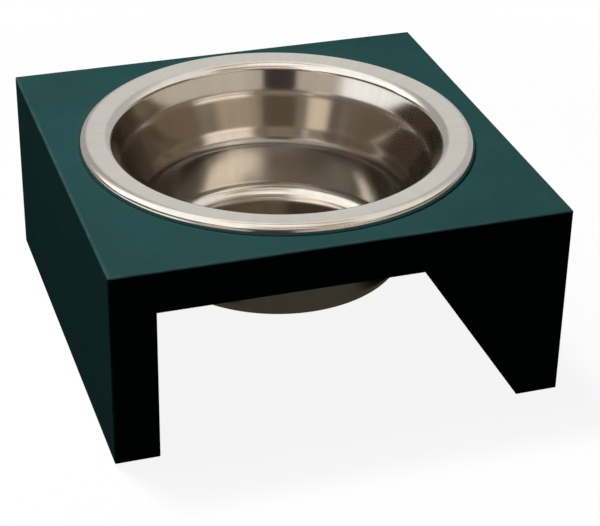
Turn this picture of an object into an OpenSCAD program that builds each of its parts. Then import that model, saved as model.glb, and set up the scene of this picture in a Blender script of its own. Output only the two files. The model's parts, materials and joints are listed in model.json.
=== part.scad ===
// Low feeding stand: a square top on two slab legs, with a steel bowl hung in a round hole.
// Origin at the middle of the floor under the stand, +X to the right, +Y to the back, +Z up.

/* [Stand] */
// Width of the stand across its two legs
stand_width = 254; // [252:1:330]
// Depth of the stand from front to back
stand_depth = 250; // [244:1:330]
// Height of the top face above the floor
stand_height = 116; // [104:1:180]
// Thickness of the three boards
board_thickness = 25; // [18:0.5:27]
// Radius of the eased edges of the boards
edge_radius = 1.5; // [1:0.5:4]

/* [Bowl hole] */
// Gap between the bowl's mouth and the hole's wall
hole_clearance = 1.3; // [0.8:0.1:3]
// Bevel on both edges of the hole
hole_bevel = 1.5; // [0.5:0.1:3]

/* [Corner dowels] */
// Dowels in each corner joint
dowels_per_joint = 4; // [2:1:6]
// Diameter of a dowel
dowel_diameter = 8; // [6:0.5:9]
// Length of a dowel
dowel_length = 25; // [16:1:28]
// Bevel on both ends of a dowel
dowel_bevel = 1; // [0.5:0.1:1.5]
// Depth of the glue flutes along a dowel
flute_depth = 0.4; // [0.2:0.1:0.6]
// Flutes round a dowel
flute_count = 12; // [6:1:16]
// Distance of the dowels' middles from the outer faces
dowel_inset = 16; // [15:0.5:18]
// Distance of the outermost dowels from the front and the back
dowel_end_margin = 35; // [20:1:50]
// Glue gap round a dowel
glue_gap = 0.1; // [0.05:0.05:0.3]
// Spare depth of a dowel hole past the dowel's end
dowel_end_gap = 1; // [0.5:0.5:2]

/* [Foot pads] */
// Diameter of a rubber pad
pad_diameter = 16; // [10:1:17]
// Thickness of a rubber pad
pad_thickness = 2; // [1.5:0.5:5]
// Radius round the lower edge of a pad
pad_edge_radius = 0.8; // [0.4:0.1:1.2]
// Distance of a pad's middle from the front or the back
pad_inset = 16; // [12:1:60]

/* [Bowl rim] */
// Thickness of the bowl's sheet steel
sheet_thickness = 0.8; // [0.6:0.1:1]
// Diameter over the rim's turned-down edge
rim_diameter = 225; // [222:1:240]
// Height of the rim's outer shoulder above the board
rim_height = 6; // [5.4:0.2:9]
// Fall of the rim from its shoulder to the mouth
rim_fall = 1.6; // [0.4:0.1:2.5]
// Bend radius of the rim's shoulder, at the middle of the sheet
shoulder_bend = 4.4; // [2:0.1:4.8]
// Spread of the turned-down edge from the shoulder to the board
edge_spread = 0.5; // [0.2:0.1:1]
// Bend radius of the lip between rim and mouth, at the middle of the sheet
lip_bend = 6; // [2:0.1:8]
// Gap between the rim's edge and the board
seat_clearance = 0.3; // [0.25:0.05:0.5]

/* [Bowl body] */
// Diameter of the mouth at the middle of the sheet
mouth_diameter = 189.6; // [188:0.2:194]
// Narrowing of the radius down the upper band
upper_draw = 5.4; // [2:0.1:6]
// Depth of the upper step below the board's top face
upper_step_depth = 10.8; // [9:0.1:12]
// Narrowing of the radius down the middle band
middle_draw = 8.2; // [4:0.1:8.8]
// Depth of the lower step below the board's top face
lower_step_depth = 31; // [29.8:0.2:36]
// Narrowing of the radius down the lower band
lower_draw = 0.7; // [0.2:0.1:10]
// Width of the upper step's ledge
upper_step_width = 1.5; // [1.4:0.1:2.4]
// Fall of the upper step's ledge
upper_step_fall = 2.7; // [2:0.1:2.9]
// Width of the lower step's ledge
lower_step_width = 4.4; // [4.2:0.1:5]
// Fall of the lower step's ledge
lower_step_fall = 7.9; // [7.2:0.1:8.4]
// Bend radius from the lower step into the lower band, at the middle of the sheet
nose_bend = 14; // [6:0.5:20]
// Bend radius between the lower band and the floor, at the middle of the sheet
floor_bend = 8; // [6:0.2:24]
// Depth of the bowl's floor below the board's top face
bowl_depth = 73.8; // [60:0.2:90]

/* [Hidden] */
$fn = 96;
// Straight steps in each bend of the bowl's sheet
ARC_STEPS = 8;
SIDES = ["left", "right"];
ENDS = ["front", "rear"];
JOINTS = [for (i = [1 : dowels_per_joint]) i];

// Slope of the corner joints between the top and the legs
MITRE_ANGLE = 45;
// Share of the upper step's ledge that its two bends take up
LEDGE_SHARE = 0.94;

PAINT = "#2b504f";
STEEL = "#c3bdb5";
BEECH = "#cfae80";
RUBBER = "#232323";

leg_height = stand_height - pad_thickness;
half_sheet = sheet_thickness / 2;
hole_radius = mouth_diameter / 2 + half_sheet + hole_clearance;
dowel_pitch = (stand_depth - 2 * dowel_end_margin) / (dowels_per_joint - 1);

// Heights in the bowl are taken from the board's top face.
rim_radius = rim_diameter / 2 - half_sheet;
rim_high = rim_height - half_sheet;
mouth_radius = mouth_diameter / 2;
upper_radius = mouth_radius - upper_draw;
upper_nose = upper_radius - upper_step_width;
middle_radius = upper_nose - middle_draw;
lower_nose = middle_radius - lower_step_width;
lower_radius = lower_nose - lower_draw;
upper_nose_depth = upper_step_depth + upper_step_fall;
lower_nose_depth = lower_step_depth + lower_step_fall;

// Each step is an S of two bends; those of the upper one nearly meet at the middle of its ledge.
half_ledge = LEDGE_SHARE * norm([upper_step_width, upper_step_fall]) / 2;
upper_ledge = atan2(upper_step_width, upper_step_fall);
lower_ledge = atan2(lower_step_width, lower_step_fall);
upper_band = atan2(upper_draw, rim_high - rim_fall + upper_step_depth);
middle_band = atan2(middle_draw, lower_step_depth - upper_nose_depth);

// Middle line of the bowl's sheet from the rim's edge to the axis, as [radius, height, bend radius]
BOWL_PATH = [
    [rim_radius, seat_clearance, 0],
    [rim_radius - edge_spread, rim_high, shoulder_bend],
    [mouth_radius, rim_high - rim_fall, lip_bend],
    [upper_radius, -upper_step_depth, ledge_bend(upper_ledge - upper_band)],
    [upper_nose, -upper_nose_depth, ledge_bend(upper_ledge - middle_band)],
    [middle_radius, -lower_step_depth, ledge_bend(lower_ledge - middle_band)],
    [lower_nose, -lower_nose_depth, nose_bend],
    [lower_radius, -bowl_depth, floor_bend],
    [0, -bowl_depth, 0]
];

function side_sign(side) = side == "left" ? -1 : 1;
function end_sign(end) = end == "front" ? -1 : 1;

// Bend radius that turns a band into a ledge within half of the upper ledge
function ledge_bend(turn) = half_ledge / tan(turn / 2);

function point(p) = [p[0], p[1]];
function unit(v) = v / norm(v);
function turned(v, angle) =
    [v[0] * cos(angle) - v[1] * sin(angle), v[0] * sin(angle) + v[1] * cos(angle)];

// Directions from a bend's corner to the points before and after it
function back_way(path, i) = unit(point(path[i - 1]) - point(path[i]));
function fore_way(path, i) = unit(point(path[i + 1]) - point(path[i]));
function half_angle(path, i) = acos(back_way(path, i) * fore_way(path, i)) / 2;
function is_bend(path, i) = i > 0 && i < len(path) - 1;

// Middle of a bend's arc, the way from there to the arc's start, and its turn, positive to the left
function bend_centre(path, i) =
    point(path[i])
    + unit(back_way(path, i) + fore_way(path, i)) * path[i][2] / sin(half_angle(path, i));
function bend_start(path, i) =
    unit(point(path[i]) + back_way(path, i) * path[i][2] / tan(half_angle(path, i)) - bend_centre(path, i));
function bend_sweep(path, i) =
    sign(cross(fore_way(path, i), back_way(path, i))) * (180 - 2 * half_angle(path, i));

// Points on one face of the sheet at a path's corner or end: face 1 is on its left, -1 on its right
function bend_points(path, i, face) =
    let (
        sweep = bend_sweep(path, i),
        radius = path[i][2] - face * sign(sweep) * half_sheet
    )
    [for (k = [0 : ARC_STEPS])
        bend_centre(path, i) + radius * turned(bend_start(path, i), sweep * k / ARC_STEPS)];
function end_point(path, i, face) =
    let (way = i == 0 ? fore_way(path, i) : -back_way(path, i))
    point(path[i]) + face * half_sheet * turned(way, 90);
function sheet_face(path, face) =
    [for (i = [0 : len(path) - 1])
        each is_bend(path, i) ? bend_points(path, i, face) : [end_point(path, i, face)]];
function reversed(list) = [for (i = [len(list) - 1 : -1 : 0]) list[i]];

// Rectangle with round corners, centred on the origin
module eased_rectangle(size, r) {
    square([size[0] - 2 * r, size[1]], center = true);
    square([size[0], size[1] - 2 * r], center = true);
    for (sx = [-1, 1], sy = [-1, 1])
        translate([sx * (size[0] / 2 - r), sy * (size[1] / 2 - r)])
            circle(r = r);
}

// Board with all its edges eased, centred on the origin
module eased_board(size, r) {
    intersection() {
        linear_extrude(size[2], center = true)
            eased_rectangle([size[0], size[1]], r);
        rotate([90, 0, 0])
            linear_extrude(size[1], center = true)
                eased_rectangle([size[0], size[2]], r);
        rotate([90, 0, 90])
            linear_extrude(size[0], center = true)
                eased_rectangle([size[1], size[2]], r);
    }
}

// Wedge over both corner joints: the top lies inside it, the legs outside
module mitre_wedge() {
    spare = board_thickness / 2;
    rotate([90, 0, 0])
        linear_extrude(stand_depth + 2 * spare, center = true)
            polygon([
                [-stand_width / 2 - spare, stand_height + spare],
                [stand_width / 2 + spare, stand_height + spare],
                [stand_width / 2 - board_thickness - spare, stand_height - board_thickness - spare],
                [-stand_width / 2 + board_thickness + spare, stand_height - board_thickness - spare]
            ]);
}

// Puts a shape on the axis of one dowel, square to its corner joint
module at_dowel(side, i) {
    y = (i - 1) * dowel_pitch - stand_depth / 2 + dowel_end_margin;
    translate([side_sign(side) * (stand_width / 2 - dowel_inset), y, stand_height - dowel_inset])
        rotate([0, -side_sign(side) * MITRE_ANGLE, 0])
            children();
}

module dowel_holes(side) {
    for (i = JOINTS)
        at_dowel(side, i)
            cylinder(
                d = dowel_diameter + 2 * glue_gap,
                h = dowel_length + 2 * dowel_end_gap,
                center = true
            );
}

// Hole for the bowl, beveled at both faces
module bowl_hole() {
    spare = board_thickness / 2;
    translate([0, 0, stand_height - board_thickness - spare])
        cylinder(r = hole_radius, h = board_thickness + 2 * spare);
    translate([0, 0, stand_height - hole_bevel])
        cylinder(r1 = hole_radius, r2 = hole_radius + 2 * hole_bevel, h = 2 * hole_bevel);
    translate([0, 0, stand_height - board_thickness - hole_bevel])
        cylinder(r1 = hole_radius + 2 * hole_bevel, r2 = hole_radius, h = 2 * hole_bevel);
}

module top_board() {
    color(PAINT)
        difference() {
            intersection() {
                translate([0, 0, stand_height - board_thickness / 2])
                    eased_board([stand_width, stand_depth, board_thickness], edge_radius);
                mitre_wedge();
            }
            bowl_hole();
            for (side = SIDES)
                dowel_holes(side);
        }
}

module leg(side) {
    color(PAINT)
        difference() {
            translate([
                side_sign(side) * (stand_width - board_thickness) / 2,
                0,
                pad_thickness + leg_height / 2
            ])
                eased_board([board_thickness, stand_depth, leg_height], edge_radius);
            mitre_wedge();
            dowel_holes(side);
        }
}

module dowel(side, i) {
    radius = dowel_diameter / 2;
    color(BEECH)
        at_dowel(side, i)
            difference() {
                rotate_extrude()
                    polygon([
                        [0, -dowel_length / 2],
                        [radius - dowel_bevel, -dowel_length / 2],
                        [radius, -dowel_length / 2 + dowel_bevel],
                        [radius, dowel_length / 2 - dowel_bevel],
                        [radius - dowel_bevel, dowel_length / 2],
                        [0, dowel_length / 2]
                    ]);
                for (f = [1 : flute_count])
                    rotate(f * 360 / flute_count)
                        translate([radius, 0, 0])
                            cylinder(r = flute_depth, h = dowel_length + 2 * dowel_bevel, center = true);
            }
}

module foot(side, end) {
    radius = pad_diameter / 2;
    x = side_sign(side) * (stand_width - board_thickness) / 2;
    y = end_sign(end) * (stand_depth / 2 - pad_inset);
    color(RUBBER)
        translate([x, y, 0])
            rotate_extrude() {
                square([radius - pad_edge_radius, pad_thickness]);
                translate([0, pad_edge_radius])
                    square([radius, pad_thickness - pad_edge_radius]);
                translate([radius - pad_edge_radius, pad_edge_radius])
                    circle(r = pad_edge_radius);
            }
}

// Section of a bent sheet along a path
module sheet_section(path) {
    polygon(concat(sheet_face(path, 1), reversed(sheet_face(path, -1))));
}

module bowl() {
    color(STEEL)
        translate([0, 0, stand_height])
            rotate_extrude()
                sheet_section(BOWL_PATH);
}

top_board();
leg("left");  // left_leg
leg("right");  // right_leg
bowl();
for (side = SIDES, i = JOINTS)
    dowel(side, i);
for (side = SIDES, end = ENDS)
    foot(side, end);
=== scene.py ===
"""Looks of a low dog feeding stand: painted boards, glued corners, rubber pads and a hung steel bowl."""
import json
import logging
import math
from dataclasses import dataclass, field
from enum import Enum
from typing import Any, Union

import bpy
import numpy as np
from mathutils import Matrix, Vector


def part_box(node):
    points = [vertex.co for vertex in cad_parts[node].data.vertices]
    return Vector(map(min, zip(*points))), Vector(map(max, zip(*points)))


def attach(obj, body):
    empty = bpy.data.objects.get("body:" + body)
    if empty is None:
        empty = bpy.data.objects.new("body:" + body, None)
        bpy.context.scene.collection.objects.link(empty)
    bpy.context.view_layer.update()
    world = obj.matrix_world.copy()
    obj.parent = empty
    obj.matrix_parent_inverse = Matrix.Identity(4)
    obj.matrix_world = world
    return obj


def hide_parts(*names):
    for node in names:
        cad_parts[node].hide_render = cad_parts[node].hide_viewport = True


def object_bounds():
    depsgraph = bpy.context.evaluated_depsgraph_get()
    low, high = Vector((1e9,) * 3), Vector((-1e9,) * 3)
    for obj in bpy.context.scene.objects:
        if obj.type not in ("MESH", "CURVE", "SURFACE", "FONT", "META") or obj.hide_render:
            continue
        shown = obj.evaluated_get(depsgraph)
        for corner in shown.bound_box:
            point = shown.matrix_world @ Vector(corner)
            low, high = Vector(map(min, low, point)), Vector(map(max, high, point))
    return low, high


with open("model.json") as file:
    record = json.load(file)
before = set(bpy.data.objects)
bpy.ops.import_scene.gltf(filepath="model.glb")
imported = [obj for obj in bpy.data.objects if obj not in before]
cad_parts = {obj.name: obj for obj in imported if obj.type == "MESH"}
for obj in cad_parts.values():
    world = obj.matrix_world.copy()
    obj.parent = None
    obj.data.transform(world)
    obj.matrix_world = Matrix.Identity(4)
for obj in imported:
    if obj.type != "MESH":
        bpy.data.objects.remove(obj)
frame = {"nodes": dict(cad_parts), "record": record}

CAD_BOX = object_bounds()
LOG = logging.getLogger("feeding_stand")
MM = 0.001

Colour = tuple[float, float, float]  # red, green and blue
Triple = tuple[float, float, float]  # a place, a direction or factors along x, y and z
Span = tuple[float, float]  # start and end of a soft change, or the values that it goes from and to
Band = tuple[float, float, float]  # start and end of a strip, and the soft margin on both sides of it
Grain = tuple[float, float, float]  # scale, detail and roughness of a noise
Patches = tuple[float, float]  # scale and amount of soft patches
Rates = tuple[float, float]  # how fast a pattern changes round the bowl and along its section
Socket = bpy.types.NodeSocket
Input = Union[float, Colour, Socket]

WHITE: Colour = (1.0, 1.0, 1.0)
# Sockets of a Mix node for colours and for numbers: the factor, both inputs and the output
COLOUR_MIX = (0, 6, 7, 2)
NUMBER_MIX = (0, 2, 3, 0)


class Body(Enum):
    """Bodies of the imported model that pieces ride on."""

    STAND = "stand"
    BOWL = "bowl"


class Slot(Enum):
    """Finishes that the record names."""

    PAINT = "paint"
    STEEL = "steel"
    BEECH = "beech"
    RUBBER = "pad_rubber"


class NodeSheet:
    """A node tree that is filled by short calls, most of which return the socket they make."""

    def __init__(self, tree: bpy.types.NodeTree) -> None:
        """Keeps the tree that the calls add to."""
        self.tree = tree

    def add(self, kind: str, **settings: Any) -> bpy.types.Node:
        """Adds a node.

        Args:
            kind: Blender's name for the node's type.
            settings: properties to set on the new node.

        Returns:
            The new node.
        """
        node = self.tree.nodes.new(kind)
        for name, value in settings.items():
            setattr(node, name, value)
        return node

    def feed(self, target: Socket, source: Input) -> None:
        """Links a socket to an input, or sets the input to a plain value.

        Args:
            target: the input to feed.
            source: a socket, a number, a colour or a vector.
        """
        if isinstance(source, Socket):
            self.tree.links.new(source, target)
        elif isinstance(source, tuple) and target.type == "RGBA":
            target.default_value = (*source, 1.0)
        else:
            target.default_value = source

    def fill(self, node: bpy.types.Node, *sources: Input) -> Socket:
        """Feeds a node's inputs in their order.

        Args:
            node: the node to feed.
            sources: one source for each of the first inputs.

        Returns:
            The node's first output.
        """
        for target, source in zip(node.inputs, sources):
            self.feed(target, source)
        return node.outputs[0]

    def math(self, operation: str, *sources: Input, clamp: bool = False) -> Socket:
        """Works out a number from up to three others."""
        return self.fill(self.add("ShaderNodeMath", operation=operation, use_clamp=clamp), *sources)

    def times(self, one: Input, other: Input) -> Socket:
        """Multiplies two numbers."""
        return self.math("MULTIPLY", one, other)

    def vector(self, operation: str, *sources: Input) -> Socket:
        """Works out a vector from others."""
        return self.fill(self.add("ShaderNodeVectorMath", operation=operation), *sources)

    def measure(self, operation: str, *sources: Input) -> Socket:
        """Works out a number from vectors.

        Args:
            operation: Blender's name for the operation.
            sources: the vectors.

        Returns:
            The number.
        """
        node = self.add("ShaderNodeVectorMath", operation=operation)
        self.fill(node, *sources)
        return node.outputs["Value"]

    def along(self, vector: Socket, way: Triple) -> Socket:
        """Measures a vector along a direction."""
        return self.measure("DOT_PRODUCT", vector, way)

    def scaled(self, vector: Input, factors: Input) -> Socket:
        """Multiplies a vector or colour by three factors."""
        return self.vector("MULTIPLY", vector, factors)

    def grey(self, level: Socket) -> Socket:
        """Puts one number in all three channels."""
        return self.fill(self.add("ShaderNodeCombineXYZ"), level, level, level)

    def mix_as(self, kind: str, places: tuple[int, ...], *sources: Input) -> Socket:
        """Mixes two inputs of one type of data.

        Args:
            kind: Blender's name for the type.
            places: numbers of the type's sockets: the factor, both inputs and the output.
            sources: the factor and both inputs.

        Returns:
            The mix.
        """
        node = self.add("ShaderNodeMix", data_type=kind)
        for place, source in zip(places, sources):
            self.feed(node.inputs[place], source)
        return node.outputs[places[-1]]

    def mix(self, factor: Input, low: Input, high: Input) -> Socket:
        """Mixes two colours."""
        return self.mix_as("RGBA", COLOUR_MIX, factor, low, high)

    def blend(self, factor: Input, low: Input, high: Input) -> Socket:
        """Mixes two numbers."""
        return self.mix_as("FLOAT", NUMBER_MIX, factor, low, high)

    def ramp(self, value: Input, span: Span, low: float = 0.0, high: float = 1.0) -> Socket:
        """Takes a value smoothly from low to high over a span, and holds it beyond both ends."""
        node = self.add("ShaderNodeMapRange", interpolation_type="SMOOTHSTEP", clamp=True)
        return self.fill(node, value, *span, low, high)

    def band(self, value: Socket, strip: Band) -> Socket:
        """Is 1 inside a strip and falls to 0 over its margin on both sides."""
        start, end, soft = strip
        return self.times(self.ramp(value, (start - soft, start)), self.ramp(value, (end + soft, end)))

    def noise(self, vector: Socket, scale: Input, detail: float, roughness: float = 0.5) -> Socket:
        """Adds smooth noise.

        Args:
            vector: where the noise is read.
            scale: how fine it is.
            detail: how many finer layers it has.
            roughness: how strong these are.

        Returns:
            The noise, from 0 to 1.
        """
        node = self.add("ShaderNodeTexNoise", normalize=True)
        settings = {"Vector": vector, "Scale": scale, "Detail": detail, "Roughness": roughness}
        for name, source in settings.items():
            self.feed(node.inputs[name], source)
        return node.outputs["Fac"]

    def group(self, tree: bpy.types.NodeTree, **sources: Input) -> bpy.types.Node:
        """Places a node group.

        Args:
            tree: the group.
            sources: what feeds its inputs, by their names with _ for a space.

        Returns:
            The group's node.
        """
        node = self.add("ShaderNodeGroup", node_tree=tree)
        for name, source in sources.items():
            self.feed(node.inputs[name.replace("_", " ")], source)
        return node

    def place(self) -> Socket:
        """Reads the place on the piece, in metres."""
        return self.add("ShaderNodeTexCoord").outputs["Object"]

    def bump(self, height: Socket, depth: float) -> Socket:
        """Turns a height into a normal.

        Args:
            height: the height, from 0 to 1.
            depth: how deep it goes, in metres.

        Returns:
            The normal.
        """
        node = self.add("ShaderNodeBump")
        for name, source in {"Strength": 1.0, "Distance": depth, "Height": height}.items():
            self.feed(node.inputs[name], source)
        return node.outputs["Normal"]


def new_group(name: str, inputs: dict[str, str], outputs: dict[str, str]) -> tuple[NodeSheet, Any, Any]:
    """Starts a shader node group.

    Args:
        name: name of the group.
        inputs: socket types by input name.
        outputs: socket types by output name.

    Returns:
        The sheet to fill, the sockets of its inputs and the sockets of its outputs.
    """
    tree = bpy.data.node_groups.new(name, "ShaderNodeTree")
    for direction, sockets in (("INPUT", inputs), ("OUTPUT", outputs)):
        for socket_name, kind in sockets.items():
            tree.interface.new_socket(socket_name, in_out=direction, socket_type="NodeSocket" + kind)
    sheet = NodeSheet(tree)
    return sheet, sheet.add("NodeGroupInput").outputs, sheet.add("NodeGroupOutput").inputs


@dataclass
class SharedEffects:
    """Node groups that several finishes use."""

    patch_detail: float = 3.0
    speck_detail: float = 2.0
    speck_ratio: float = 9.0
    speck_share: float = 0.35
    contrast: float = 4.0
    cloud: bpy.types.NodeTree = field(init=False)
    arris: bpy.types.NodeTree = field(init=False)

    def __post_init__(self) -> None:
        """Builds every group once."""
        self.cloud = self.build_cloud()
        self.arris = self.build_arris()

    def build_cloud(self) -> bpy.types.NodeTree:
        """Soft patches and finer specks that shift a tone by about Amount to either side of 1.

        Returns:
            The group, with the output Tone.
        """
        sheet, given, out = new_group(
            "soft_patches",
            {"Vector": "Vector", "Scale": "Float", "Amount": "Float"},
            {"Tone": "Float"},
        )
        fine_scale = sheet.times(given["Scale"], self.speck_ratio)
        broad = sheet.noise(given["Vector"], given["Scale"], self.patch_detail)
        fine = sheet.noise(given["Vector"], fine_scale, self.speck_detail)
        both = sheet.blend(self.speck_share, broad, fine)
        centred = sheet.math("MULTIPLY_ADD", both, self.contrast, -self.contrast / 2)
        sheet.feed(out["Tone"], sheet.math("MULTIPLY_ADD", centred, given["Amount"], 1.0))
        return sheet.tree

    @staticmethod
    def build_arris() -> bpy.types.NodeTree:
        """Mask of the outer arrises of a box that stands on the origin, 1 on an arris and 0 past Reach.

        The distance to the nearest arris is the middle one of the distances to the side, the end and the top.

        Returns:
            The group, with the output Mask.
        """
        lengths = ("Half Width", "Half Depth", "Height", "Reach")
        sheet, given, out = new_group(
            "arris_mask",
            {"Vector": "Vector", **{name: "Float" for name in lengths}},
            {"Mask": "Float"},
        )
        parts = sheet.add("ShaderNodeSeparateXYZ")
        sheet.feed(parts.inputs[0], given["Vector"])
        side = sheet.math("SUBTRACT", given["Half Width"], sheet.math("ABSOLUTE", parts.outputs[0]))
        end = sheet.math("SUBTRACT", given["Half Depth"], sheet.math("ABSOLUTE", parts.outputs[1]))
        top = sheet.math("SUBTRACT", given["Height"], parts.outputs[2])
        low = sheet.math("MINIMUM", side, end)
        high = sheet.math("MAXIMUM", side, end)
        middle = sheet.math("MAXIMUM", low, sheet.math("MINIMUM", high, top))
        share = sheet.math("DIVIDE", middle, given["Reach"], clamp=True)
        sheet.feed(out["Mask"], sheet.math("SUBTRACT", 1.0, share))
        return sheet.tree

    def tone(self, sheet: NodeSheet, place: Socket, patches: Patches) -> Socket:
        """Places the soft patches in a material and returns their tone."""
        scale, amount = patches
        return sheet.group(self.cloud, Vector=place, Scale=scale, Amount=amount).outputs["Tone"]


def new_material(name: str) -> tuple[bpy.types.Material, NodeSheet, bpy.types.Node]:
    """Starts a material.

    Args:
        name: name of the material.

    Returns:
        The material, the sheet of its nodes and its Principled shader.
    """
    material = bpy.data.materials.new(name)
    material.use_nodes = True
    sheet = NodeSheet(material.node_tree)
    return material, sheet, material.node_tree.nodes["Principled BSDF"]


@dataclass(frozen=True)
class MattPaint:
    """Dark teal matt paint, rolled on, paler on the arrises: partly rubbed wear, partly a painted highlight.
    """

    colour: Colour = (0.025, 0.080, 0.078)
    # Paler colour of the arrises: partly rubbed wear, partly a painted highlight where they catch light
    rubbed_and_highlit: Colour = (0.085, 0.170, 0.158)
    roughness: float = 0.55
    specular: float = 0.0
    patches: Patches = (28.0, 0.11)
    arris_reach: float = 1.8 * MM
    wear_and_highlight: Grain = (90.0, 3.0, 0.5)
    wear_and_highlight_span: Span = (0.25, 0.75)
    wear_and_highlight_share: Span = (0.25, 0.8)
    stipple: Grain = (900.0, 2.0, 0.6)
    stipple_depth: float = 0.05 * MM

    def build(
        self, effects: SharedEffects, half_width: float, half_depth: float, height: float
    ) -> bpy.types.Material:
        """Makes the material.

        Args:
            effects: the shared node groups.
            half_width: half the width of the stand.
            half_depth: half the depth of the stand.
            height: height of the stand's top face.

        Returns:
            The material.
        """
        material, sheet, shader = new_material("teal_matt_paint")
        place = sheet.place()
        tone = effects.tone(sheet, place, self.patches)
        arris = sheet.group(
            effects.arris,
            Vector=place,
            Half_Width=half_width,
            Half_Depth=half_depth,
            Height=height,
            Reach=self.arris_reach,
        ).outputs["Mask"]
        # Paler colour along the arrises: partly rubbed wear, partly a painted highlight where the arrises
        # catch light
        patchy = sheet.noise(place, *self.wear_and_highlight)
        wear_and_highlight = sheet.times(arris, sheet.ramp(patchy, self.wear_and_highlight_span, *self.wear_and_highlight_share))
        colour = sheet.mix(wear_and_highlight, self.colour, self.rubbed_and_highlit)
        sheet.feed(shader.inputs["Base Color"], sheet.scaled(colour, sheet.grey(tone)))
        sheet.feed(shader.inputs["Roughness"], sheet.times(tone, self.roughness))
        shader.inputs["Specular IOR Level"].default_value = self.specular
        stipple = sheet.noise(place, *self.stipple)
        sheet.feed(shader.inputs["Normal"], sheet.bump(stipple, self.stipple_depth))
        return material


@dataclass(frozen=True)
class SpunSteel:
    """Stainless sheet: brushed round on the rim and outside, polished inside with faint draw marks.

    The colour is painted darker over the first mirrors that a ray has met, as painted shade, and the sheet
    glows warm brown for a ray that has met too many, as a painted reflection in place of more mirrors.
    """

    colour: Colour = (0.63, 0.605, 0.57)
    # Painted reflection: warm brown glow of the sheet for rays that have met too many mirrors
    painted_glow: Colour = (0.15, 0.115, 0.08)
    painted_glow_after: float = 3.5
    # Painted shade: how much darker the colour is painted after the first mirrors
    bounce_shade_level: float = 0.60
    bounce_shade_over: Span = (0.0, 2.0)
    polished: float = 0.12
    satin: float = 0.28
    patches: Patches = (22.0, 0.03)
    line_rates: Rates = (3.0, 2600.0)
    lines: Grain = (1.0, 4.0, 0.65)
    line_span: Span = (0.3, 0.7)
    line_roughness: Span = (0.97, 1.04)
    line_height: Span = (0.05, 1.0)
    line_depth: float = 0.0005 * MM
    draw_rates: Rates = (16.0, 14.0)
    draws: Grain = (1.0, 3.0, 0.6)
    draw_span: Span = (0.3, 0.7)
    draw_shade: Span = (0.97, 1.02)

    def build(self, effects: SharedEffects) -> bpy.types.Material:
        """Makes the material, which reads two attributes of the mesh.

        These are satin, 1 where the sheet is brushed, and along, the way along the section in metres.

        Args:
            effects: the shared node groups.

        Returns:
            The material.
        """
        material, sheet, shader = new_material("spun_stainless")
        place = sheet.place()
        satin = sheet.add("ShaderNodeAttribute", attribute_name="satin").outputs["Fac"]
        length = sheet.add("ShaderNodeAttribute", attribute_name="along").outputs["Fac"]
        parts = sheet.add("ShaderNodeSeparateXYZ")
        sheet.feed(parts.inputs[0], sheet.vector("NORMALIZE", sheet.scaled(place, (1.0, 1.0, 0.0))))

        def ring_space(turn: float, run: float) -> Socket:
            """Coordinates that go round the bowl at one rate and along its section at another.

            Args:
                turn: the rate round the bowl.
                run: the rate along the section.

            Returns:
                The coordinates.
            """
            joined = sheet.add("ShaderNodeCombineXYZ")
            x, y = (sheet.times(parts.outputs[axis], turn) for axis in range(2))
            return sheet.fill(joined, x, y, sheet.times(length, run))

        lines = sheet.noise(ring_space(*self.line_rates), *self.lines)
        draws = sheet.noise(ring_space(*self.draw_rates), *self.draws)
        tone = effects.tone(sheet, place, self.patches)
        shade = sheet.ramp(draws, self.draw_span, *self.draw_shade)
        # Painted shade: the colour darkens with each mirror that a ray has met, over the first two
        bounces = sheet.add("ShaderNodeLightPath").outputs["Glossy Depth"]
        bounce_shade = sheet.ramp(bounces, self.bounce_shade_over, 1.0, self.bounce_shade_level)
        shade = sheet.times(sheet.times(tone, shade), bounce_shade)
        sheet.feed(shader.inputs["Base Color"], sheet.scaled(self.colour, sheet.grey(shade)))
        rough = sheet.blend(satin, self.polished, self.satin)
        streak = sheet.ramp(lines, self.line_span, *self.line_roughness)
        sheet.feed(shader.inputs["Roughness"], sheet.times(rough, streak))
        shader.inputs["Metallic"].default_value = 1.0
        height = sheet.times(lines, sheet.blend(satin, *self.line_height))
        sheet.feed(shader.inputs["Normal"], sheet.bump(height, self.line_depth))
        # Painted glow in place of light from further mirrors: the sheet emits warm brown past three and a
        # half bounces
        sheet.feed(shader.inputs["Emission Color"], self.painted_glow)
        sheet.feed(shader.inputs["Emission Strength"], sheet.math("GREATER_THAN", bounces, self.painted_glow_after))
        return material


@dataclass(frozen=True)
class BareBeech:
    """Unfinished beech with short dark flecks along the grain."""

    colour: Colour = (0.60, 0.40, 0.21)
    fleck: Colour = (0.36, 0.20, 0.09)
    roughness: float = 0.7
    patches: Patches = (120.0, 0.06)
    grain_stretch: Triple = (300.0, 2200.0, 300.0)
    grain: Grain = (1.0, 3.0, 0.5)
    grain_depth: float = 0.03 * MM
    fleck_span: Span = (0.55, 0.75)

    def build(self, effects: SharedEffects) -> bpy.types.Material:
        """Makes the material.

        Args:
            effects: the shared node groups.

        Returns:
            The material.
        """
        material, sheet, shader = new_material("bare_beech")
        place = sheet.place()
        grain = sheet.noise(sheet.scaled(place, self.grain_stretch), *self.grain)
        tone = effects.tone(sheet, place, self.patches)
        flecks = sheet.times(sheet.ramp(grain, self.fleck_span), tone)
        sheet.feed(shader.inputs["Base Color"], sheet.mix(flecks, self.colour, self.fleck))
        sheet.feed(shader.inputs["Roughness"], sheet.times(tone, self.roughness))
        sheet.feed(shader.inputs["Normal"], sheet.bump(grain, self.grain_depth))
        return material


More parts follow.
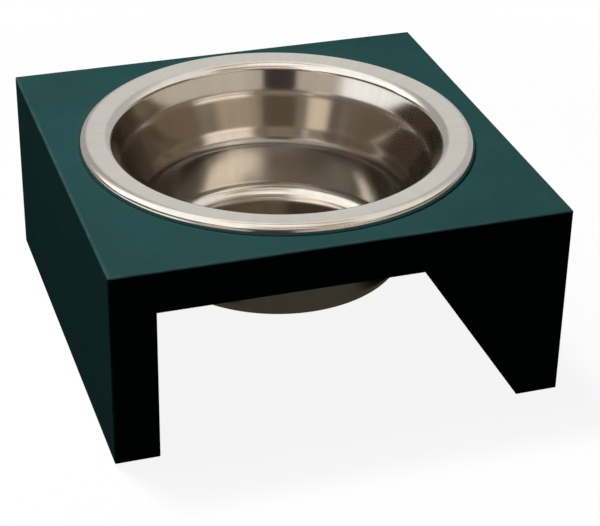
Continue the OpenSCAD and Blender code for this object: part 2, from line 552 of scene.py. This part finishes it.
@dataclass(frozen=True)
class PadRubber:
    """Black rubber with a fine moulded grain."""

    colour: Colour = (0.018, 0.018, 0.019)
    dusty: Colour = (0.05, 0.05, 0.048)
    roughness: float = 0.75
    specular: float = 0.3
    patches: Patches = (150.0, 0.15)
    grain: Grain = (2500.0, 2.0, 0.5)
    grain_depth: float = 0.04 * MM
    dust_span: Span = (0.5, 0.8)

    def build(self, effects: SharedEffects) -> bpy.types.Material:
        """Makes the material.

        Args:
            effects: the shared node groups.

        Returns:
            The material.
        """
        material, sheet, shader = new_material("pad_rubber")
        place = sheet.place()
        tone = effects.tone(sheet, place, self.patches)
        grain = sheet.noise(place, *self.grain)
        dust = sheet.times(sheet.ramp(grain, self.dust_span), tone)
        sheet.feed(shader.inputs["Base Color"], sheet.mix(dust, self.colour, self.dusty))
        sheet.feed(shader.inputs["Roughness"], sheet.times(tone, self.roughness))
        shader.inputs["Specular IOR Level"].default_value = self.specular
        sheet.feed(shader.inputs["Normal"], sheet.bump(grain, self.grain_depth))
        return material


def dress(thing: bpy.types.Object, material: bpy.types.Material) -> None:
    """Gives an object one material in place of those it has."""
    thing.data.materials.clear()
    thing.data.materials.append(material)


def new_object(name: str, data: bpy.types.ID) -> bpy.types.Object:
    """Makes an object and links it to the scene.

    Args:
        name: name of the object.
        data: its mesh, lamp or camera.

    Returns:
        The object.
    """
    thing = bpy.data.objects.new(name, data)
    bpy.context.scene.collection.objects.link(thing)
    return thing


def solid_object(
    name: str,
    vertices: np.ndarray,
    faces: list[np.ndarray],
    attributes: dict[str, np.ndarray],
    sharp_angle: float = math.radians(50.0),
) -> bpy.types.Object:
    """Makes a smooth closed mesh object, with its faces turned outwards.

    Args:
        name: name of the object.
        vertices: one row of x, y and z for each vertex.
        faces: arrays of vertex numbers, one array for each number of corners.
        attributes: one number for each vertex, by attribute name.
        sharp_angle: angle between faces past which an edge stays sharp.

    Returns:
        The object, linked to the scene.
    """
    fan = np.concatenate([f[:, (0, i, i + 1)] for f in faces for i in range(1, f.shape[1] - 1)])
    a, b, c = (vertices[fan[:, i]] for i in range(3))
    # The signed volume is negative where the faces point inwards
    if np.einsum("ij,ij->i", a, np.cross(b, c)).sum() < 0:
        faces = [f[:, ::-1] for f in faces]
    mesh = bpy.data.meshes.new(name)
    mesh.from_pydata(vertices, [], [row for f in faces for row in f.tolist()])
    for title, values in attributes.items():
        layer = mesh.attributes.new(title, "FLOAT", "POINT")
        layer.data.foreach_set("value", values.astype(np.float32))
    mesh.shade_smooth()
    mesh.set_sharp_from_angle(angle=sharp_angle)
    mesh.update()
    return new_object(name, mesh)


@dataclass
class Bowl:
    """Deep-drawn steel bowl: turned-down edge, flat rim, stepped wall and round-cornered floor, in metres.

    Heights are taken from the top face of the board that carries the bowl, and bends are at the middle
    of the sheet.
    """

    seat: float
    sheet: float = 0.8 * MM
    rim_diameter: float = 225.0 * MM
    rim_height: float = 5.97 * MM
    rim_fall: float = 1.6 * MM
    shoulder_bend: float = 4.4 * MM
    edge_spread: float = 0.5 * MM
    lip_bend: float = 6.0 * MM
    seat_clearance: float = 0.3 * MM
    mouth_diameter: float = 189.6 * MM
    upper_draw: float = 5.4 * MM
    upper_step_depth: float = 10.8 * MM
    middle_draw: float = 8.2 * MM
    lower_step_depth: float = 31.0 * MM
    lower_draw: float = 0.7 * MM
    upper_step_width: float = 1.5 * MM
    upper_step_fall: float = 2.7 * MM
    lower_step_width: float = 4.4 * MM
    lower_step_fall: float = 7.9 * MM
    nose_bend: float = 14.0 * MM
    ledge_share: float = 0.94
    floor_bend: float = 8.0 * MM
    depth: float = 73.8 * MM
    turn_steps: int = 240
    bend_steps: int = 16
    run_step: float = 1.5 * MM
    lip_fade: Span = (0.5 * MM, 4.5 * MM)
    edge_satin: float = 0.15
    outside_satin: float = 0.75
    bend_satin: float = 0.5
    bend_scale: float = 16.0 * MM
    bend_fade: float = 2.0 * MM
    even_steps: int = 1200

    def corners(self) -> np.ndarray:
        """Corners of the sheet's middle line from the rim's edge to the axis.

        Returns:
            Rows of radius, height and bend radius.
        """
        half = self.sheet / 2
        edge = self.rim_diameter / 2 - half
        high = self.rim_height - half
        mouth = self.mouth_diameter / 2
        upper = mouth - self.upper_draw
        upper_nose = upper - self.upper_step_width
        middle = upper_nose - self.middle_draw
        lower_nose = middle - self.lower_step_width
        upper_depth = self.upper_step_depth + self.upper_step_fall
        lower_depth = self.lower_step_depth + self.lower_step_fall
        half_ledge = self.ledge_share * math.hypot(self.upper_step_width, self.upper_step_fall) / 2
        upper_ledge = math.atan2(self.upper_step_width, self.upper_step_fall)
        lower_ledge = math.atan2(self.lower_step_width, self.lower_step_fall)
        upper_band = math.atan2(self.upper_draw, high - self.rim_fall + self.upper_step_depth)
        middle_band = math.atan2(self.middle_draw, self.lower_step_depth - upper_depth)

        def ledge_bend(turn: float) -> float:
            """Radius of the bend that turns a band into a ledge within half of the upper ledge."""
            return half_ledge / math.tan(turn / 2)

        return np.array([
            (edge, self.seat_clearance, 0.0),
            (edge - self.edge_spread, high, self.shoulder_bend),
            (mouth, high - self.rim_fall, self.lip_bend),
            (upper, -self.upper_step_depth, ledge_bend(upper_ledge - upper_band)),
            (upper_nose, -upper_depth, ledge_bend(upper_ledge - middle_band)),
            (middle, -self.lower_step_depth, ledge_bend(lower_ledge - middle_band)),
            (lower_nose, -lower_depth, self.nose_bend),
            (lower_nose - self.lower_draw, -self.depth, self.floor_bend),
            (0.0, -self.depth, 0.0),
        ])

    def middle_line(self) -> tuple[np.ndarray, np.ndarray]:
        """Middle line of the sheet with its corners rounded.

        Each corner becomes an arc that touches both of its runs, and each run is cut into short steps.

        Returns:
            Points of the line, and the unit normals on its left.
        """
        rows = self.corners()
        points, radii = rows[:, :2], rows[:, 2]
        ways = np.diff(points, axis=0)
        ways /= np.linalg.norm(ways, axis=1)[:, None]
        line = [points[:1]]
        normals = [np.stack([-ways[:1, 1], ways[:1, 0]], axis=1)]

        def run_to(target: np.ndarray, way: np.ndarray) -> None:
            """Adds a straight run up to a point, without that point.

            Args:
                target: the point.
                way: the run's unit direction.
            """
            start = line[-1][-1]
            count = max(2, math.ceil(np.linalg.norm(target - start) / self.run_step) + 1)
            share = np.linspace(0.0, 1.0, count)[1:-1, None]
            line.append(start + share * (target - start))
            normals.append(np.repeat([[-way[1], way[0]]], count - 2, axis=0))

        for i in range(1, len(points) - 1):
            before, after = ways[i - 1], ways[i]
            turn = math.atan2(before[0] * after[1] - before[1] * after[0], before @ after)
            setback = radii[i] * math.tan(abs(turn) / 2)
            start = points[i] - before * setback
            run_to(start, before)
            angle = np.linspace(0.0, turn, self.bend_steps + 1)
            left = np.array([-before[1], before[0]])
            swung = np.stack([
                left[0] * np.cos(angle) - left[1] * np.sin(angle),
                left[0] * np.sin(angle) + left[1] * np.cos(angle),
            ], axis=1)
            side = math.copysign(1.0, turn)
            centre = start + side * radii[i] * left
            line.append(centre - side * radii[i] * swung)
            normals.append(swung)
        run_to(points[-1], ways[-1])
        return np.concatenate(line), np.concatenate(normals)

    def inside_satin(self, line: np.ndarray, normals: np.ndarray) -> np.ndarray:
        """How brushed the upper face of the sheet is along its section.

        The flat of the rim is fully brushed and fades out over the lip and the shoulder. Below the board
        the polish is duller where the section bends, by how fast its normal turns along the way.

        Args:
            line: points of the section's middle line.
            normals: unit normals of the line.

        Returns:
            One number from 0 to 1 for each point.
        """
        radius, height = line.T
        lip = self.mouth_diameter / 2 + np.array(self.lip_fade)
        shoulder = self.rim_diameter / 2 - self.shoulder_bend
        rim = np.interp(radius, [*lip, shoulder, shoulder + self.sheet], [0.0, 1.0, 1.0, self.edge_satin])
        place = np.cumsum(np.linalg.norm(np.diff(line, axis=0, prepend=line[:1]), axis=1))
        heading = np.unwrap(np.arctan2(normals[:, 1], normals[:, 0]))
        even = np.linspace(0.0, place[-1], self.even_steps)
        bend = np.abs(np.gradient(np.interp(even, place, heading), even)) * self.bend_scale
        spread = np.hanning(2 * round(self.bend_fade / even[1]) + 1)
        dull = np.convolve(np.clip(bend, 0.0, 1.0), spread / spread.sum(), mode="same")
        return np.where(height > 0.0, rim, self.bend_satin * np.interp(place, even, dull))

    def faces(self, points: int) -> list[np.ndarray]:
        """Quads between neighbouring rings of points, and a fan of triangles round each pole.

        The rings run down the inside and back up the outside. The last ring joins the first one at the rim's
        edge, and the two rings nearest to the axis are joined to the poles instead of to each other.

        Args:
            points: number of points on the section's middle line.

        Returns:
            The quads and the triangles, as rows of vertex numbers.
        """
        count = 2 * points
        ring = np.arange(self.turn_steps)
        onward = (ring + 1) % self.turn_steps
        lower = np.delete(np.arange(count), points - 1)
        upper = (lower + 1) % count
        quads = np.stack([
            lower[:, None] * self.turn_steps + ring,
            lower[:, None] * self.turn_steps + onward,
            upper[:, None] * self.turn_steps + onward,
            upper[:, None] * self.turn_steps + ring,
        ], axis=-1).reshape(-1, 4)
        pole = np.full_like(ring, count * self.turn_steps)
        near = (points - 1) * self.turn_steps
        far = points * self.turn_steps
        fans = np.concatenate([
            np.stack([near + ring, near + onward, pole], axis=-1),
            np.stack([far + onward, far + ring, pole + 1], axis=-1),
        ])
        return [quads, fans]

    def build(self) -> bpy.types.Object:
        """Turns both faces of the sheet about the axis as one closed surface.

        A point of the section at radius r and height z becomes a ring of points (r cos t, r sin t, z).

        Returns:
            The bowl's object.
        """
        line, normals = self.middle_line()
        half = self.sheet / 2
        rows = np.concatenate([line - half * normals, (line + half * normals)[::-1]])
        steps = np.linalg.norm(np.diff(line, axis=0, append=[[0.0, -self.depth]]), axis=1)
        along = np.cumsum(steps) - steps[0]
        along = np.concatenate([along, along[::-1]])
        satin = np.concatenate([self.inside_satin(line, normals), np.full(len(line), self.outside_satin)])

        turn = np.linspace(0.0, 2 * math.pi, self.turn_steps, endpoint=False)
        grid = np.stack([
            rows[:, :1] * np.cos(turn),
            rows[:, :1] * np.sin(turn),
            np.repeat(rows[:, 1:] + self.seat, self.turn_steps, axis=1),
        ], axis=-1).reshape(-1, 3)
        floor = self.seat - self.depth
        poles = np.array([(0.0, 0.0, floor + half), (0.0, 0.0, floor - half)])
        attributes = {
            "satin": np.concatenate([np.repeat(satin, self.turn_steps), (0.0, self.outside_satin)]),
            "along": np.concatenate([np.repeat(along, self.turn_steps), (along.max(), along.max())]),
        }
        return solid_object("bowl_spun", np.concatenate([grid, poles]), self.faces(len(line)), attributes)


@dataclass
class Stand:
    """Painted boards with their hidden dowels and foot pads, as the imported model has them."""

    nodes: dict[str, bpy.types.Object]
    slots: dict[str, Slot]

    def dress(self, effects: SharedEffects) -> None:
        """Gives every piece of the stand the finish of its slot.

        Args:
            effects: the shared node groups.
        """
        low, high = CAD_BOX
        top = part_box("top_board")[1][2]
        finishes = {
            Slot.PAINT: MattPaint().build(effects, (high[0] - low[0]) / 2, (high[1] - low[1]) / 2, top),
            Slot.BEECH: BareBeech().build(effects),
            Slot.RUBBER: PadRubber().build(effects),
        }
        for name, thing in sorted(self.nodes.items()):
            finish = finishes.get(self.slots[name])
            if finish is not None:
                dress(thing, finish)
                LOG.info("dressed %s on %s with %s", name, Body.STAND.value, finish.name)


@dataclass(frozen=True)
class PhotoCamera:
    """Camera that stands where the photograph was taken from."""

    position: Triple = (-0.28926, -0.91253, 0.59211)
    heading: float = math.radians(-18.450)
    pitch: float = math.radians(59.789)
    roll: float = math.radians(1.056)
    focal_px: float = 1875.9
    image_width_px: float = 600.0
    sensor_width_mm: float = 36.0

    def build(self) -> None:
        """Makes the camera and sets it as the scene's."""
        data = bpy.data.cameras.new("photo_camera")
        data.sensor_width = self.sensor_width_mm
        data.lens = self.sensor_width_mm * self.focal_px / self.image_width_px
        thing = new_object("photo_camera", data)
        turned = Matrix.Rotation(self.heading, 4, "Z") @ Matrix.Rotation(self.pitch, 4, "X")
        turned = turned @ Matrix.Rotation(self.roll, 4, "Z")
        thing.matrix_world = Matrix.Translation(self.position) @ turned
        bpy.context.scene.camera = thing


@dataclass(frozen=True)
class MirrorRay:
    """Measures of a ray that goes from the steel into the room, as sockets.

    The rise is its height, side and back are its reach to the right and to the back of the room, and turn is
    its angle from the camera's side. The level is the height that the room's edges follow. Bounces counts the
    mirrors that it has met, again is 1 after the second of them, and again_low is that for a low ray alone.
    """

    rise: Socket
    side: Socket
    back: Socket
    turn: Socket
    level: Socket
    bounces: Socket
    again: Socket
    again_low: Socket


@dataclass(frozen=True)
class Room:
    """Warm room that the steel mirrors: pale low down, brown above that, and white towards the ceiling.

    Turns are in degrees from the camera's side of the room, positive to its right. The edges between the
    parts rise a little towards the camera's side, so a level is the height plus a share of the way to the
    back. By way of a second mirror the room looks plainer: the shelf is gone, the white is brown low down,
    and the high wall on the left is brighter. The colours with again in their names are for that.
    """

    heading: float = math.radians(-17.6)
    slope: float = 0.25
    again_bounces: Span = (1.0, 2.0)
    again_rise: Span = (0.80, 0.72)

    low_left: Colour = (1.40, 1.38, 1.35)
    low_left_turn: Span = (-40.0, -54.0)
    low_middle: Colour = (0.62, 0.55, 0.47)
    low_right: Colour = (0.70, 0.63, 0.54)
    low_right_turn: Span = (12.0, 26.0)
    low_far: Colour = (0.52, 0.42, 0.32)
    low_far_turn: Span = (90.0, 104.0)
    low_patch: Colour = (0.06, 0.045, 0.04)
    low_patch_turn: Band = (-12.0, 9.0, 3.0)

    wood_level: Span = (0.105, 0.155)
    figure_stretch: Triple = (1.0, 1.0, 0.12)
    figure: Grain = (4.0, 3.0, 0.55)
    figure_span: Span = (0.45, 0.65)
    wood_dark: Colour = (0.14, 0.107, 0.078)
    wood_pale: Colour = (0.27, 0.22, 0.175)
    wood_left: Colour = (0.15, 0.11, 0.075)
    wood_left_turn: Span = (-46.0, -66.0)
    wood_right: Colour = (0.42, 0.33, 0.23)
    wood_right_turn: Band = (20.0, 44.0, 10.0)
    wood_right_level: Span = (0.24, 0.34)
    wood_far: Colour = (0.20, 0.14, 0.09)
    wood_far_turn: Span = (52.0, 76.0)
    wood_middle: Colour = (0.12, 0.09, 0.06)
    wood_middle_turn: Band = (-13.0, 8.0, 4.0)
    wood_middle_level: Span = (0.215, 0.30)
    wood_high: Colour = (0.28, 0.215, 0.15)
    streak: Colour = (0.92, 0.76, 0.58)
    streak_turn: Band = (-38.0, -28.0, 7.0)
    streak_level: Span = (0.23, 0.29)
    shelf: Colour = (1.78, 1.58, 1.34)
    shelf_turn: Band = (28.0, 58.0, 12.0)
    shelf_foot: Span = (0.225, 0.285)
    shelf_top: Span = (0.332, 0.318)
    wood_again: Colour = (0.12, 0.09, 0.062)
    wood_again_left: Span = (-4.0, -14.0)
    wood_again_right: Span = (54.0, 64.0)

    edge_turn: Span = (-25.0, -13.0)
    edge_levels: Span = (0.325, 0.43)
    edge_left_turn: Span = (-27.0, -33.0)
    edge_left_lift: float = 0.09
    edge_right_turn: Span = (40.0, 58.0)
    edge_right_lift: float = -0.045
    edge_fade: Span = (-0.01, 0.04)

    white_left: Colour = (1.55, 1.52, 1.46)
    white_middle: Colour = (1.15, 1.08, 0.97)
    white_middle_turn: Span = (-28.0, -12.0)
    white_right: Colour = (1.12, 1.08, 1.00)
    white_right_turn: Span = (26.0, 55.0)
    white_again: Colour = (0.27, 0.21, 0.145)
    high: Colour = (1.50, 1.45, 1.36)
    high_again: Colour = (6.90, 6.35, 5.60)
    high_bounces: Span = (1.0, 4.0)
    high_turn: Band = (-105.0, -24.0, 10.0)
    high_rise: Band = (0.825, 0.945, 0.035)
    cove: Colour = (0.50, 0.42, 0.33)
    cove_turn: Band = (-8.0, 54.0, 10.0)
    cove_rise: Band = (0.78, 0.86, 0.04)
    recess_turn: Band = (32.0, 50.0, 10.0)
    recess_rise: Band = (0.68, 0.82, 0.05)
    recess_share: float = 0.8

    overhead_rise: Span = (0.90, 0.95)
    overhead_side: Span = (-0.30, -0.06)
    zenith_rise: Span = (0.974, 0.99)
    ceiling_front: Colour = (1.10, 1.04, 0.94)
    ceiling_again: Colour = (0.50, 0.42, 0.33)
    ceiling_back: Colour = (0.68, 0.52, 0.38)
    ceiling_back_reach: Span = (-0.1, 0.2)

    window: Colour = (2.40, 2.30, 2.15)
    window_turn: Band = (-122.0, -97.0, 7.0)
    window_rise: Band = (0.36, 0.75, 0.06)

    back_left: Colour = (0.52, 0.50, 0.48)
    back_middle: Colour = (0.90, 0.885, 0.86)
    back_middle_side: Span = (-0.25, -0.02)
    back_right: Colour = (0.66, 0.64, 0.62)
    back_right_side: Span = (0.03, 0.28)
    back_reach: Span = (0.15, 0.70)
    back_rise: Span = (0.92, 0.72)

    def measure(self, sheet: NodeSheet, way: Socket, bounces: Socket) -> MirrorRay:
        """Measures a ray.

        Args:
            sheet: the sheet of the world's nodes.
            way: the ray's direction.
            bounces: how many mirrors it has met.

        Returns:
            Its measures.
        """
        right, ahead = math.cos(self.heading), math.sin(self.heading)
        rise = sheet.along(way, (0.0, 0.0, 1.0))
        side = sheet.along(way, (right, ahead, 0.0))
        back = sheet.along(way, (-ahead, right, 0.0))
        front = sheet.times(back, -1.0)
        turn = sheet.math("DEGREES", sheet.math("ARCTAN2", side, front))
        level = sheet.math("MULTIPLY_ADD", back, self.slope, rise)
        again = sheet.ramp(bounces, self.again_bounces)
        again_low = sheet.times(again, sheet.ramp(rise, self.again_rise))
        return MirrorRay(rise, side, back, turn, level, bounces, again, again_low)

    @staticmethod
    def patch(sheet: NodeSheet, ray: MirrorRay, turn: Band, rise: Band) -> Socket:
        """Mask of a soft-edged patch of the wall."""
        return sheet.times(sheet.band(ray.turn, turn), sheet.band(ray.rise, rise))

    def low_wall(self, sheet: NodeSheet, ray: MirrorRay) -> Socket:
        """Paints the pale foot of the wall.

        Args:
            sheet: the sheet of the world's nodes.
            ray: measures of the ray.

        Returns:
            The colour.
        """
        low = sheet.mix(sheet.ramp(ray.turn, self.low_right_turn), self.low_middle, self.low_right)
        low = sheet.mix(sheet.ramp(ray.turn, self.low_far_turn), low, self.low_far)
        low = sheet.mix(sheet.ramp(ray.turn, self.low_left_turn), low, self.low_left)
        return sheet.mix(sheet.band(ray.turn, self.low_patch_turn), low, self.low_patch)

    def wood_wall(self, sheet: NodeSheet, ray: MirrorRay, way: Socket) -> Socket:
        """Paints the brown wall, with a pale streak on the left and a pale shelf on the right.

        Args:
            sheet: the sheet of the world's nodes.
            ray: measures of the ray.
            way: the ray's direction.

        Returns:
            The colour.
        """
        figure = sheet.noise(sheet.scaled(way, self.figure_stretch), *self.figure)
        wood = sheet.mix(sheet.ramp(figure, self.figure_span), self.wood_dark, self.wood_pale)
        wood = sheet.mix(sheet.ramp(ray.turn, self.wood_left_turn), wood, self.wood_left)
        right = sheet.mix(sheet.ramp(ray.level, self.wood_right_level), self.wood_right, self.wood_far)
        wood = sheet.mix(sheet.band(ray.turn, self.wood_right_turn), wood, right)
        wood = sheet.mix(sheet.ramp(ray.turn, self.wood_far_turn), wood, self.wood_far)
        middle = sheet.mix(sheet.ramp(ray.level, self.wood_middle_level), self.wood_middle, self.wood_high)
        wood = sheet.mix(sheet.band(ray.turn, self.wood_middle_turn), wood, middle)
        streak = sheet.mix(sheet.ramp(ray.level, self.streak_level), self.streak, self.wood_high)
        wood = sheet.mix(sheet.band(ray.turn, self.streak_turn), wood, streak)
        height = sheet.times(sheet.ramp(ray.level, self.shelf_foot), sheet.ramp(ray.level, self.shelf_top))
        shelf = sheet.times(sheet.band(ray.turn, self.shelf_turn), height)
        shelf = sheet.times(shelf, sheet.math("SUBTRACT", 1.0, ray.again))
        return sheet.mix(shelf, wood, self.shelf)

    def white_wall(self, sheet: NodeSheet, ray: MirrorRay) -> Socket:
        """Paints the white wall above the brown one, and the ceiling.

        Args:
            sheet: the sheet of the world's nodes.
            ray: measures of the ray.

        Returns:
            The colour.
        """
        white = sheet.mix(sheet.ramp(ray.turn, self.white_middle_turn), self.white_left, self.white_middle)
        white = sheet.mix(sheet.ramp(ray.turn, self.white_right_turn), white, self.white_right)
        white = sheet.mix(ray.again_low, white, self.white_again)
        bright = sheet.mix(sheet.ramp(ray.bounces, self.high_bounces), self.high, self.high_again)
        white = sheet.mix(self.patch(sheet, ray, self.high_turn, self.high_rise), white, bright)
        cove = self.patch(sheet, ray, self.cove_turn, self.cove_rise)
        recess = self.patch(sheet, ray, self.recess_turn, self.recess_rise)
        cove = sheet.math("MAXIMUM", cove, sheet.times(recess, self.recess_share))
        white = sheet.mix(cove, white, self.cove)
        ceiling = sheet.mix(ray.again, self.ceiling_front, self.ceiling_again)
        ceiling = sheet.mix(sheet.ramp(ray.back, self.ceiling_back_reach), ceiling, self.ceiling_back)
        overhead = sheet.mix(sheet.ramp(ray.side, self.overhead_side), bright, ceiling)
        overhead = sheet.mix(sheet.ramp(ray.rise, self.zenith_rise), overhead, self.white_left)
        return sheet.mix(sheet.ramp(ray.rise, self.overhead_rise), white, overhead)

    def over_edge(self, sheet: NodeSheet, ray: MirrorRay) -> Socket:
        """Mask of what lies above the edge between the brown wall and the white one.

        Args:
            sheet: the sheet of the world's nodes.
            ray: measures of the ray.

        Returns:
            The mask.
        """
        edge = sheet.ramp(ray.turn, self.edge_turn, *self.edge_levels)
        edge = sheet.math("ADD", edge, sheet.ramp(ray.turn, self.edge_left_turn, 0.0, self.edge_left_lift))
        edge = sheet.math("ADD", edge, sheet.ramp(ray.turn, self.edge_right_turn, 0.0, self.edge_right_lift))
        return sheet.ramp(sheet.math("SUBTRACT", ray.level, edge), self.edge_fade)

    def build(self, sheet: NodeSheet, way: Socket, bounces: Socket) -> Socket:
        """Paints the room.

        Args:
            sheet: the sheet of the world's nodes.
            way: the direction that is looked in.
            bounces: how many mirrors the look has met.

        Returns:
            The room's colour in that direction.
        """
        ray = self.measure(sheet, way, bounces)
        wood = self.wood_wall(sheet, ray, way)
        wall = sheet.mix(sheet.ramp(ray.level, self.wood_level), self.low_wall(sheet, ray), wood)
        wall = sheet.mix(self.over_edge(sheet, ray), wall, self.white_wall(sheet, ray))
        left = sheet.ramp(ray.turn, self.wood_again_left)
        sides = sheet.math("ADD", left, sheet.ramp(ray.turn, self.wood_again_right))
        wall = sheet.mix(sheet.times(sides, ray.again_low), wall, self.wood_again)
        wall = sheet.mix(self.patch(sheet, ray, self.window_turn, self.window_rise), wall, self.window)

        behind = sheet.mix(sheet.ramp(ray.side, self.back_middle_side), self.back_left, self.back_middle)
        behind = sheet.mix(sheet.ramp(ray.side, self.back_right_side), behind, self.back_right)
        reach = sheet.times(sheet.ramp(ray.back, self.back_reach), sheet.ramp(ray.rise, self.back_rise))
        return sheet.mix(reach, wall, behind)


@dataclass(frozen=True)
class Studio:
    """Pale floor, a soft high sun from the back left, a lamp above the left, and a room for mirrors.

    The floor's share is the part of its white that the lamps light near the stand, and the rest glows.
    """

    floor_reach: float = 6.0
    floor_lines: int = 9
    floor_near: float = 0.30
    floor_far: float = 0.75
    floor_white: float = 1.02
    floor_share: float = 0.12
    floor_bounce: float = 0.02
    floor_mirrored: Colour = (0.060, 0.055, 0.042)
    sun_strength: float = 1.82
    sun_from: Triple = (-0.19, 0.36, 0.91)
    sun_spread: float = math.radians(12.0)
    lamp_power: float = 1.9
    lamp_from: Triple = (-0.25, 0.05, 0.75)
    lamp_size: float = 0.30
    ambient: float = 0.009

    def build(self) -> None:
        """Makes the floor, the lamps and the world."""
        self.build_floor()
        self.build_lamps()
        self.build_world()

    @staticmethod
    def mirrored(sheet: NodeSheet, path: Any) -> Socket:
        """Is 1 for a ray that comes by way of a mirror or through glass."""
        return sheet.math("MAXIMUM", path["Is Glossy Ray"], path["Is Transmission Ray"])

    def build_floor(self) -> None:
        """Makes a wide pale floor on a square grid, which keeps the stand's shadow."""
        count = self.floor_lines
        span = np.linspace(-self.floor_reach, self.floor_reach, count)
        x, y = np.meshgrid(span, span)
        vertices = np.stack([x.ravel(), y.ravel(), np.zeros(x.size)], axis=1)
        corner = (np.arange(count - 1)[:, None] * count + np.arange(count - 1)).ravel()
        faces = np.stack([corner, corner + 1, corner + count + 1, corner + count], axis=1)
        mesh = bpy.data.meshes.new("floor")
        mesh.from_pydata(vertices, [], faces.tolist())
        floor = new_object("floor", mesh)
        dress(floor, self.floor_material())

    def floor_material(self) -> bpy.types.Material:
        """Makes the floor white to the camera, dark brown to mirrors, and dim in the light it throws back.

        Near the stand the lamps light a part of the white, which takes the shadow. Further off all of it
        glows.

        Returns:
            The material.
        """
        material, sheet, shader = new_material("pale_floor")
        sheet.tree.nodes.remove(shader)
        away = sheet.ramp(sheet.measure("LENGTH", sheet.place()), (self.floor_near, self.floor_far))
        path = sheet.add("ShaderNodeLightPath").outputs
        seen = path["Is Camera Ray"]
        mirror = self.mirrored(sheet, path)
        share = sheet.blend(away, self.floor_share, 0.0)
        bounce = sheet.blend(mirror, self.floor_bounce, 0.0)
        pale = sheet.add("ShaderNodeBsdfDiffuse")
        sheet.feed(pale.inputs["Color"], sheet.grey(sheet.blend(seen, bounce, share)))
        glow = sheet.add("ShaderNodeEmission")
        sheet.feed(glow.inputs["Color"], sheet.mix(seen, self.floor_mirrored, WHITE))
        unlit = sheet.math("SUBTRACT", self.floor_white, share)
        sheet.feed(glow.inputs["Strength"], sheet.blend(seen, mirror, unlit))
        both = sheet.fill(sheet.add("ShaderNodeAddShader"), pale.outputs[0], glow.outputs[0])
        sheet.feed(sheet.tree.nodes["Material Output"].inputs["Surface"], both)
        return material

    def build_lamps(self) -> None:
        """Makes the sun and the square lamp, both turned towards the stand and unseen by mirrors."""
        sun = bpy.data.lights.new("soft_sun", "SUN")
        sun.energy = self.sun_strength
        sun.angle = self.sun_spread
        lamp = bpy.data.lights.new("left_lamp", "AREA")
        lamp.energy = self.lamp_power
        lamp.size = self.lamp_size
        for data, place in ((sun, self.sun_from), (lamp, self.lamp_from)):
            thing = new_object(data.name, data)
            way = Vector(place)
            thing.matrix_world = Matrix.Translation(way) @ way.to_track_quat("Z", "Y").to_matrix().to_4x4()
            thing.visible_glossy = False

    def build_world(self) -> None:
        """Makes a white surround for the camera, a warm room for mirrors and a faint ambient light."""
        world = bpy.data.worlds.new("studio")
        bpy.context.scene.world = world
        world.use_nodes = True
        sheet = NodeSheet(world.node_tree)
        background = world.node_tree.nodes["Background"]
        path = sheet.add("ShaderNodeLightPath").outputs
        way = sheet.add("ShaderNodeTexCoord").outputs["Generated"]
        room = Room().build(sheet, way, path["Glossy Depth"])
        dim = (self.ambient, self.ambient, self.ambient)
        shown = sheet.mix(self.mirrored(sheet, path), dim, room)
        sheet.feed(background.inputs["Color"], sheet.mix(path["Is Camera Ray"], shown, WHITE))


def main() -> None:
    """Builds the camera, the studio, the stand and the bowl, in that order."""
    logging.basicConfig(level=logging.INFO, format="%(name)s: %(message)s")
    bpy.context.scene.view_settings.view_transform = "Standard"
    PhotoCamera().build()
    Studio().build()
    effects = SharedEffects()
    slots = {part["node"]: Slot(part["material_slot"]) for part in frame["record"]["subparts"]}
    Stand(frame["nodes"], slots).dress(effects)

    bowl = Bowl(seat=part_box("top_board")[1][2]).build()
    dress(bowl, SpunSteel().build(effects))
    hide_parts("bowl")
    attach(bowl, Body.BOWL.value)
    LOG.info("built %s on %s with %d faces", bowl.name, Body.BOWL.value, len(bowl.data.polygons))


if __name__ == "__main__":
    main()
